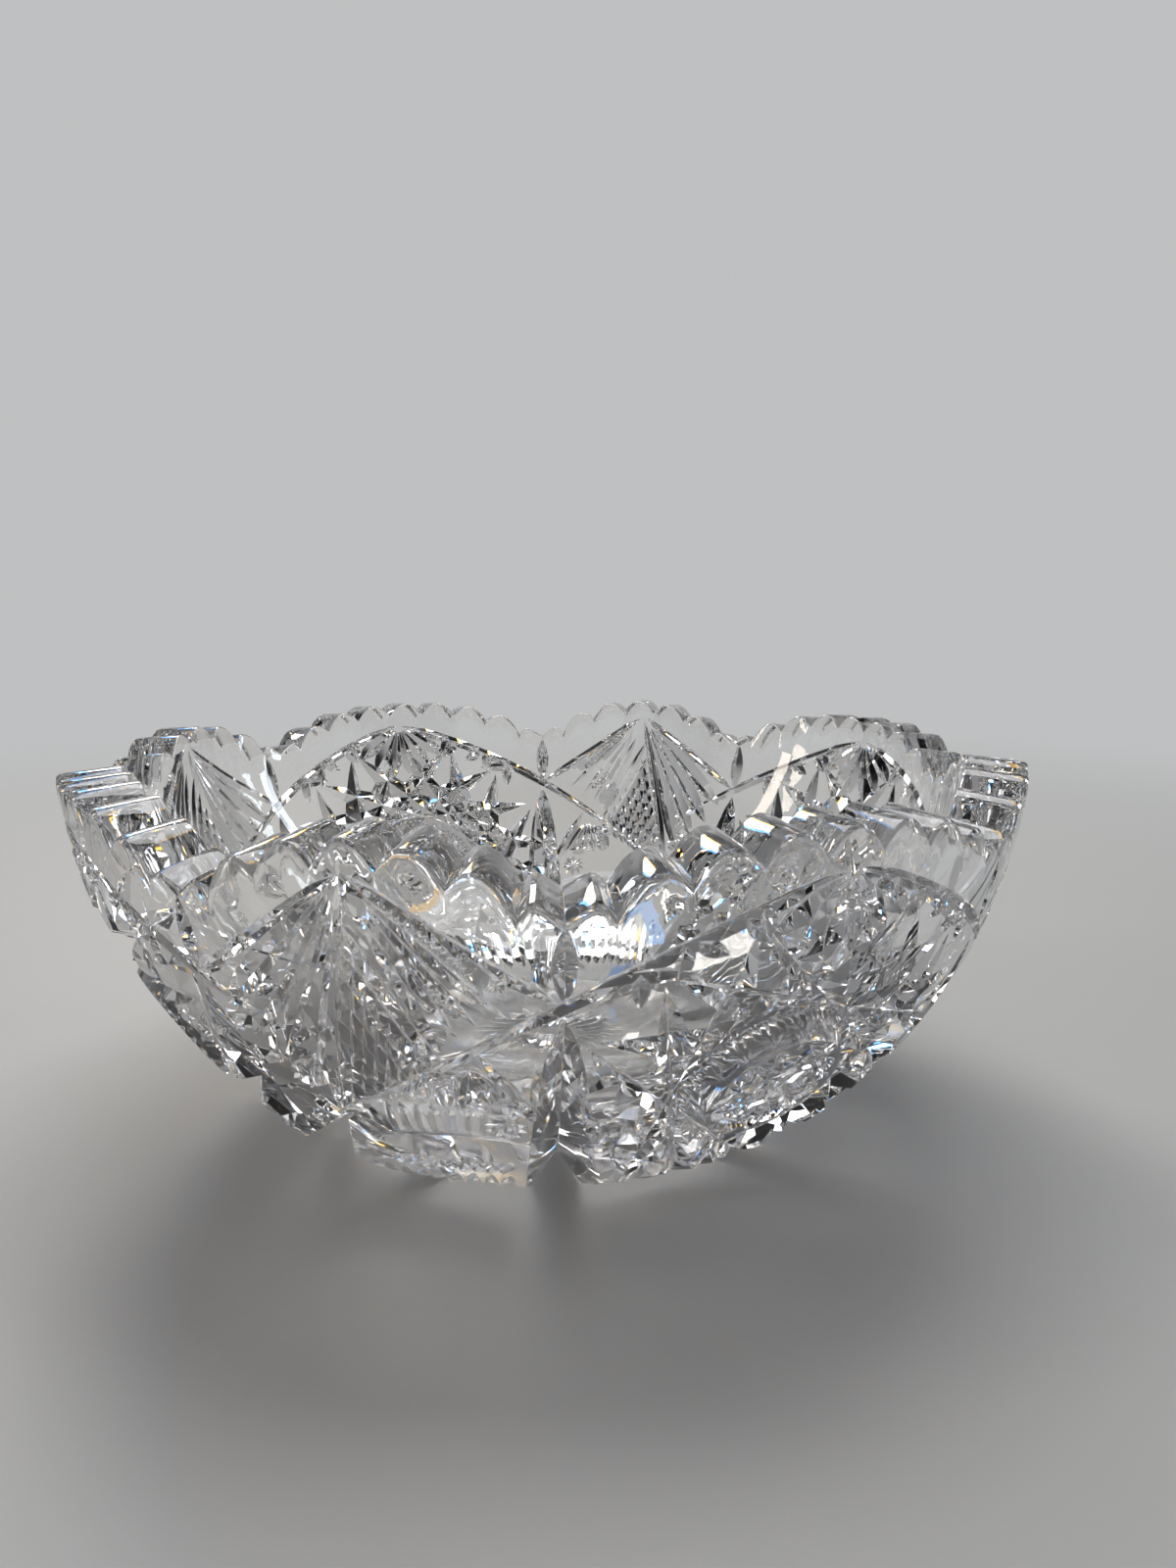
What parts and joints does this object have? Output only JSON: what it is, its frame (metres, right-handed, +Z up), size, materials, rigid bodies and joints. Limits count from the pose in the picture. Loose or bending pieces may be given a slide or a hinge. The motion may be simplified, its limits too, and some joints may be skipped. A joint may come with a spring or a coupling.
{
  "type": "punch bowl",
  "caption": "Heavy round clear crystal bowl for serving punch or fruit, with a scalloped, toothed rim and deep-cut stars, fans and arches over its rounded side.",
  "frame": {"origin": "middle of the flat underside that the bowl stands on", "axes": "+Z up along the bowl's axis; -Y towards the front, through a dip between two scallops of the rim; +X to the right of that view"},
  "size_m": [0.2012, 0.2012, 0.0854],
  "materials": {
    "crystal": "polished clear lead crystal"
  },
  "bodies": {
    "root": {"bowl": "crystal"}
  },
  "joints": []
}
